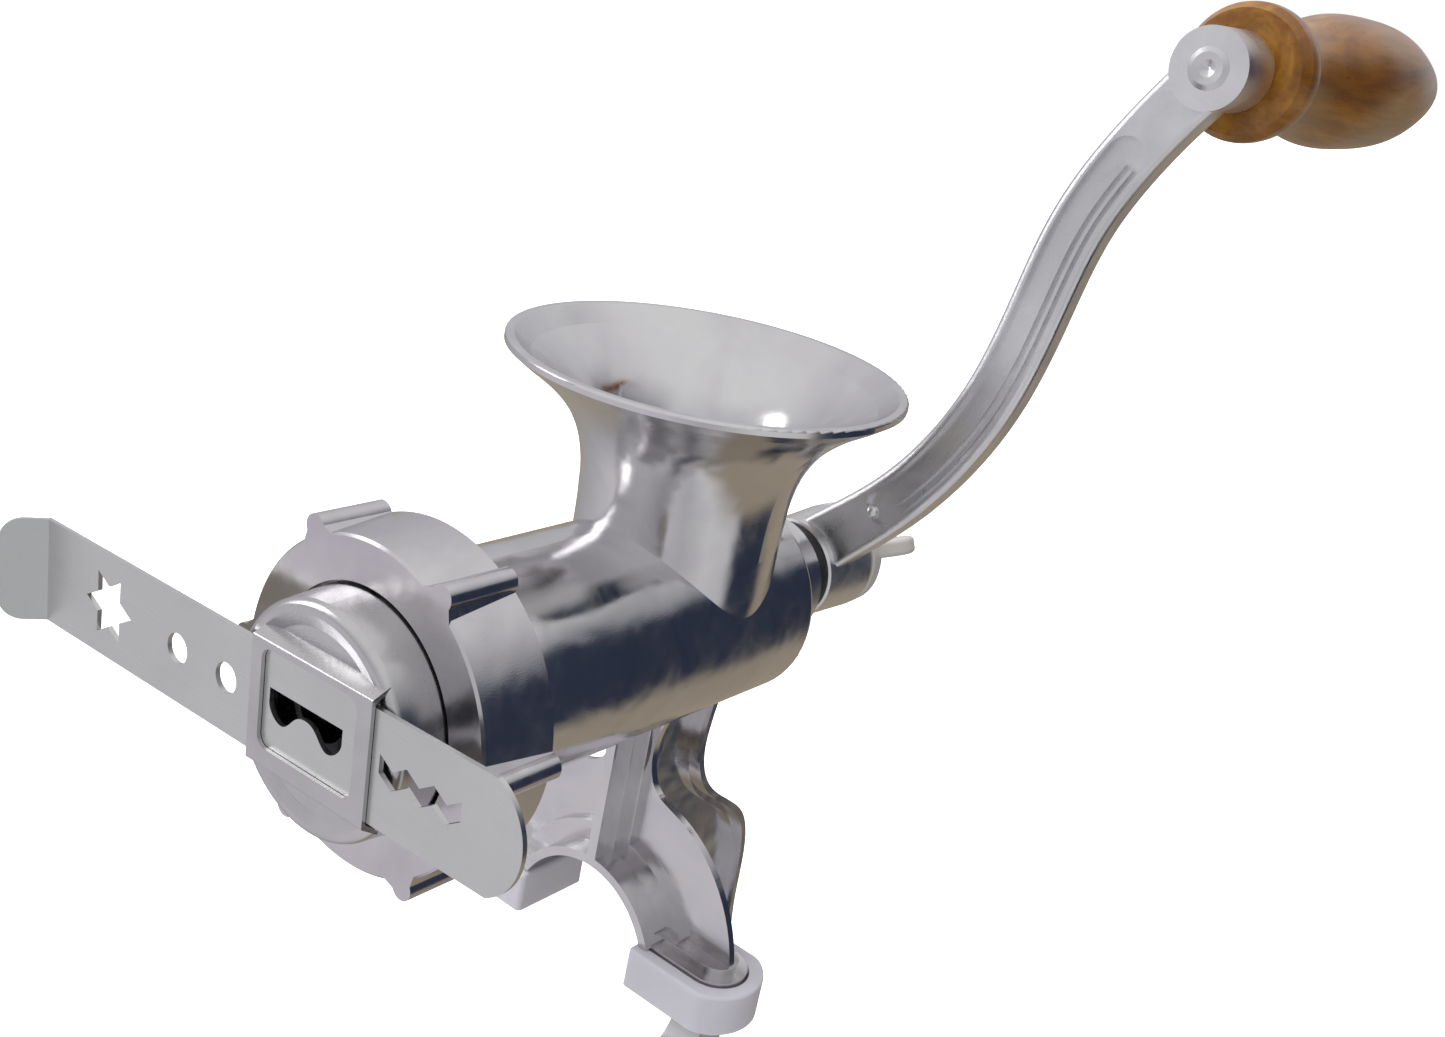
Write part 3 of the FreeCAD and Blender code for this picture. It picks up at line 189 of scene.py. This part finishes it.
def turned_metal(name, light, dark, smooth, rough, pitch, depth):
    """Metal with fine lathe rings about the barrel's axis."""
    material = bpy.data.materials.new(name)
    tree = Tree(material)
    place = tree.place()
    cloud = tree.noise(place, 45.0, 4.0, 0.55, 0.8)
    colour = tree.tint(cloud, 0.35, 0.7, light, dark)
    split = tree.add("ShaderNodeSeparateXYZ", {0: place})
    across = tree.math("SUBTRACT", split.outputs["Z"], BARREL_HEIGHT)
    squares = [tree.math("MULTIPLY", value, value) for value in (split.outputs["X"], across)]
    radius = tree.math("POWER", tree.math("ADD", *squares), 0.5)
    rings = tree.math("SINE", tree.math("MULTIPLY", radius, 2 * math.pi / pitch))
    smear = tree.noise(place, 150.0, 4.0, 0.6, 1.0)
    gloss = tree.gloss(smear, 0.3, 0.72, smooth, rough)
    normal = tree.bump(tree.noise(place, 60.0, 2.0, 0.4), 0.0001)
    normal = tree.bump(rings, depth, 1.0, normal)
    finish_material(tree, Base_Color=colour, Metallic=1.0, Roughness=gloss, Normal=normal)
    return material


def brushed_metal(name, light, dark, smooth, rough, stretch, depth):
    """Rolled sheet or bar with fine straight brush marks."""
    material = bpy.data.materials.new(name)
    tree = Tree(material)
    cloud = tree.noise(tree.place(), 30.0, 4.0, 0.55, 0.6)
    colour = tree.tint(cloud, 0.3, 0.7, light, dark)
    lines = tree.noise(tree.place(stretch), 700.0, 3.0, 0.6)
    gloss = tree.gloss(lines, 0.3, 0.7, smooth, rough)
    normal = tree.bump(lines, depth)
    finish_material(tree, Base_Color=colour, Metallic=1.0, Roughness=gloss, Normal=normal)
    return material


# ---------------------------------------------------------------- other materials
def lacquered_wood(name):
    """Golden wood with its grain along the grip, dark pores and a clear coat."""
    material = bpy.data.materials.new(name)
    tree = Tree(material)
    place = tree.place((1.0, 0.10, 1.0), (0.12, 0.0, 0.2))
    figure = tree.noise(place, 70.0, 4.0, 0.55, 1.6)
    grain = tree.noise(place, 420.0, 4.0, 0.6, 0.5)
    pores = tree.noise(tree.place((1.0, 0.04, 1.0)), 2600.0, 2.0, 0.5)
    base = tree.ramp(figure, ((0.25, (0.13, 0.042, 0.003)), (0.5, (0.28, 0.108, 0.008)),
                              (0.75, (0.44, 0.205, 0.026))))
    streaks = tree.ramp(grain, ((0.35, (0.55, 0.50, 0.45)), (0.65, (1.0, 1.0, 1.0))))
    colour = tree.mix(0.55, base, streaks, "MULTIPLY")
    pore = tree.ramp(pores, ((0.28, 0.35), (0.36, 1.0)))
    colour = tree.mix(0.6, colour, pore, "MULTIPLY")
    normal = tree.bump(grain, 0.00006)
    finish_material(tree, Base_Color=colour, Roughness=0.38, Normal=normal, Specular_IOR_Level=0.35,
                    Coat_Weight=0.45, Coat_Roughness=0.08, Coat_IOR=1.5)
    return material


def soft_plastic(name, light, dark, subsurface, rough):
    """Milky moulded plastic with a fine uneven gloss."""
    material = bpy.data.materials.new(name)
    tree = Tree(material)
    place = tree.place()
    cloud = tree.noise(place, 60.0, 3.0, 0.5)
    colour = tree.tint(cloud, 0.3, 0.7, light, dark)
    fine = tree.noise(place, 1400.0, 3.0, 0.6)
    spread = 0.06
    gloss = tree.gloss(fine, 0.3, 0.7, rough - spread, rough + spread)
    finish_material(tree, Base_Color=colour, Roughness=gloss, Normal=tree.bump(fine, 0.00004),
                    Subsurface_Weight=subsurface, Subsurface_Radius=(0.006, 0.005, 0.006), Subsurface_Scale=0.6)
    return material


def dark_rubber(name):
    """Matt black rubber."""
    material = bpy.data.materials.new(name)
    tree = Tree(material)
    fine = tree.noise(tree.place(), 900.0, 3.0, 0.6)
    colour = tree.ramp(fine, ((0.3, (0.012, 0.012, 0.013)), (0.7, (0.03, 0.03, 0.032))))
    finish_material(tree, Base_Color=colour, Roughness=0.5, Normal=tree.bump(fine, 0.0001))
    return material


RING_LOW, RING_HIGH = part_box("ring_nut")
BARREL_HEIGHT = (RING_LOW[2] + RING_HIGH[2]) / 2
PAD_LIGHT = (0.72, 0.71, 0.76)
PAD_DARK = (0.68, 0.67, 0.72)

# each CAD node's material; the lengths are in metres and the tints are linear
LOOKS = {
    "grinder_body": lambda: cast_metal("polished_casting", (0.69, 0.68, 0.69), (0.60, 0.585, 0.61),
                                       0.10, 0.24, 0.0007, 0.00001),
    "ring_nut": lambda: cast_metal("ring_casting", (0.67, 0.65, 0.67), (0.57, 0.55, 0.58),
                                   0.13, 0.30, 0.0006, 0.00001),
    "crank_arm": lambda: cast_metal("crank_casting", (0.80, 0.80, 0.81), (0.68, 0.68, 0.69),
                                    0.24, 0.40, 0.00018, 0.00001, pits=0.00001),
    "feed_screw": lambda: cast_metal("feed_casting", (0.55, 0.55, 0.56), (0.44, 0.44, 0.46),
                                     0.3, 0.5, 0.0006, 0.00002, pits=0.00004),
    "clamp_disc": lambda: cast_metal("disc_casting", (0.62, 0.62, 0.63), (0.52, 0.52, 0.54),
                                     0.26, 0.42, 0.0005, 0.00002, pits=0.00004),
    "wing_screw": lambda: soft_plastic("wing_plastic", (0.62, 0.60, 0.56), (0.56, 0.54, 0.50),
                                       0.1, 0.42),
    "cookie_cup": lambda: turned_metal("stamped_sheet", (0.61, 0.60, 0.61), (0.53, 0.52, 0.53),
                                       0.2, 0.32, 0.0006, 0.000003),
    "centring_plate": lambda: turned_metal("ground_plate", (0.50, 0.50, 0.51), (0.40, 0.40, 0.41),
                                           0.25, 0.4, 0.0008, 0.00001),
    "cookie_slide": lambda: brushed_metal("slide_sheet", (0.66, 0.67, 0.66), (0.61, 0.62, 0.61),
                                          0.26, 0.36, (0.06, 1.0, 1.0), 0.000004),
    "locating_pin": lambda: brushed_metal("pin_bar", (0.6, 0.6, 0.6), (0.5, 0.5, 0.5),
                                          0.2, 0.35, (1, 0.1, 1), 0.00001),
    "feed_stud": lambda: brushed_metal("stud_bar", (0.6, 0.6, 0.6), (0.5, 0.5, 0.5),
                                       0.2, 0.35, (1, 0.1, 1), 0.00001),
    "handle_pin": lambda: cast_metal("rivet_bar", (0.70, 0.70, 0.71), (0.60, 0.60, 0.61),
                                     0.24, 0.4, 0.0003, 0.00001),
    "grip_washer": lambda: brushed_metal("grip_washer_sheet", (0.55, 0.55, 0.55), (0.46, 0.46, 0.46),
                                         0.25, 0.4, (1, 1, 0.2), 0.00001),
    "wing_washer": lambda: brushed_metal("wing_washer_sheet", (0.56, 0.55, 0.54), (0.48, 0.47, 0.46),
                                         0.25, 0.4, (1, 1, 0.2), 0.00001),
    "clamp_screw": lambda: brushed_metal("clamp_thread", (0.58, 0.58, 0.58), (0.48, 0.48, 0.49),
                                         0.24, 0.4, (1, 1, 0.15), 0.00001),
    "clamp_bar": lambda: brushed_metal("clamp_rod", (0.60, 0.60, 0.60), (0.50, 0.50, 0.51),
                                       0.2, 0.36, (0.1, 1, 1), 0.00001),
    "clamp_bar_knobs": lambda: cast_metal("clamp_knob", (0.62, 0.62, 0.62), (0.52, 0.52, 0.53),
                                          0.22, 0.38, 0.0004, 0.00002),
    "foot_pad_right": lambda: soft_plastic("pad_right_plastic", PAD_LIGHT, PAD_DARK, 0.35, 0.36),
    "foot_pad_left": lambda: soft_plastic("pad_left_plastic", PAD_LIGHT, PAD_DARK, 0.35, 0.36),
    "rear_bush": lambda: turned_metal("bush_steel", (0.66, 0.65, 0.65), (0.56, 0.55, 0.56),
                                      0.14, 0.28, 0.0006, 0.000004),
    "thrust_washer": lambda: dark_rubber("washer_rubber"),
    "wooden_grip": lambda: lacquered_wood("lacquered_wood"),
}

for node_name, make in LOOKS.items():
    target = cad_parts[node_name]
    material = make()
    for slot in target.material_slots:
        slot.material = material


# ---------------------------------------------------------------- stage and light
def add_floor():
    """A plain pale floor just under the lowest piece."""
    low = CAD_BOX[0][2]
    mesh = bpy.data.meshes.new("floor")
    half = 12.0
    corners = [(-half, -half, low), (half, -half, low), (half, half, low), (-half, half, low)]
    mesh.from_pydata(corners, [], [(0, 1, 2, 3)])
    floor = bpy.data.objects.new("floor", mesh)
    scene.collection.objects.link(floor)
    material = bpy.data.materials.new("floor_paint")
    tree = Tree(material)
    finish_material(tree, Base_Color=(0.93, 0.93, 0.93), Roughness=0.9, Specular_IOR_Level=0.1,
                    Emission_Color=(1.0, 1.0, 1.0), Emission_Strength=0.9)
    mesh.materials.append(material)
    floor.visible_glossy = False
    floor.visible_diffuse = False


# what the metal mirrors: dark furniture, warm wood and a lilac floor
NAVY = (0.030, 0.040, 0.068)
TAN = (0.36, 0.31, 0.24)
LILAC = (0.71, 0.69, 0.73)


def add_world():
    """A white room seen directly; in reflections, bright above and darker furniture around."""
    world = bpy.data.worlds.new("room")
    scene.world = world
    tree = Tree(world)
    direction = tree.add("ShaderNodeTexCoord").outputs["Generated"]
    split = tree.add("ShaderNodeSeparateXYZ", {0: direction})
    # height runs from 0 straight down to 1 straight up, with an uneven edge
    height = tree.math("ADD", tree.math("MULTIPLY", split.outputs["Z"], 0.5), 0.5)
    soft = tree.noise(direction, 2.2, 3.0, 0.5)
    unevenness = 0.10
    height = tree.math("ADD", height,
                       tree.math("MULTIPLY", tree.math("SUBTRACT", soft, 0.5), unevenness))
    # around runs from 0 to 1 from the back (+Y) by the left (-X), the front and the right
    azimuth = tree.math("ARCTAN2", split.outputs["X"], tree.math("MULTIPLY", split.outputs["Y"], -1.0))
    around = tree.math("ADD", tree.math("DIVIDE", azimuth, 2 * math.pi), 0.5)
    dark_side = tree.ramp(height, ((0.50, NAVY), (0.655, NAVY), (0.70, (0.34, 0.35, 0.37)),
                                   (0.80, (0.62, 0.62, 0.63)), (0.92, (0.85, 0.85, 0.85))))
    light_side = tree.ramp(height, ((0.50, (0.50, 0.50, 0.52)), (0.70, (0.66, 0.66, 0.68)),
                                    (0.9, (0.85, 0.85, 0.85))))
    back_right = tree.ramp(around, ((0.68, 0.0), (0.75, 1.0), (0.95, 1.0), (0.985, 0.0)))
    above = tree.mix(back_right, light_side, dark_side)
    below = tree.ramp(around, ((0.0, TAN), (0.12, TAN), (0.22, (0.46, 0.46, 0.47)),
                               (0.36, LILAC), (0.55, LILAC), (0.62, (0.52, 0.52, 0.54)),
                               (0.70, (0.74, 0.74, 0.74)), (0.775, (0.68, 0.68, 0.69)),
                               (0.81, NAVY), (0.905, NAVY), (0.94, TAN), (1.0, TAN)))
    back_low = tree.math("MULTIPLY", tree.ramp(height, ((0.20, 1.0), (0.27, 0.0))),
                         tree.ramp(around, ((0.70, 0.0), (0.80, 1.0))))
    below = tree.mix(back_low, below, TAN)
    split_level = tree.ramp(height, ((0.46, 0.0), (0.51, 1.0)))
    room = tree.mix(split_level, below, above)
    seen = tree.add("ShaderNodeLightPath").outputs["Is Camera Ray"]
    colour = tree.mix(seen, room, 1.0)
    background = tree.add("ShaderNodeBackground", {"Color": colour, "Strength": 1.0})
    out = tree.add("ShaderNodeOutputWorld")
    tree.links.new(background.outputs[0], out.inputs[0])


def add_softbox(name, place, target, width, height, power, mirrored=True):
    """A rectangular light that faces its target; metal shows it only if it is mirrored."""
    data = bpy.data.lights.new(name, "AREA")
    data.shape = "RECTANGLE"
    data.size = width
    data.size_y = height
    data.energy = power
    light = bpy.data.objects.new(name, data)
    aim = Vector(target) - Vector(place)
    light.rotation_euler = aim.to_track_quat("-Z", "Y").to_euler()
    light.location = place
    light.visible_glossy = mirrored
    scene.collection.objects.link(light)


add_floor()
add_world()
add_softbox("top_light", (-0.25, -0.2, 1.1), (0, 0, 0.1), 0.9, 0.7, 7.5, mirrored=False)
add_softbox("left_light", (-1.1, -0.7, 0.6), (0, 0, 0.1), 0.5, 0.8, 3.5)
add_softbox("fill_light", (0.7, -1.2, 0.5), (0, 0, 0.08), 0.6, 0.6, 1.6, mirrored=False)
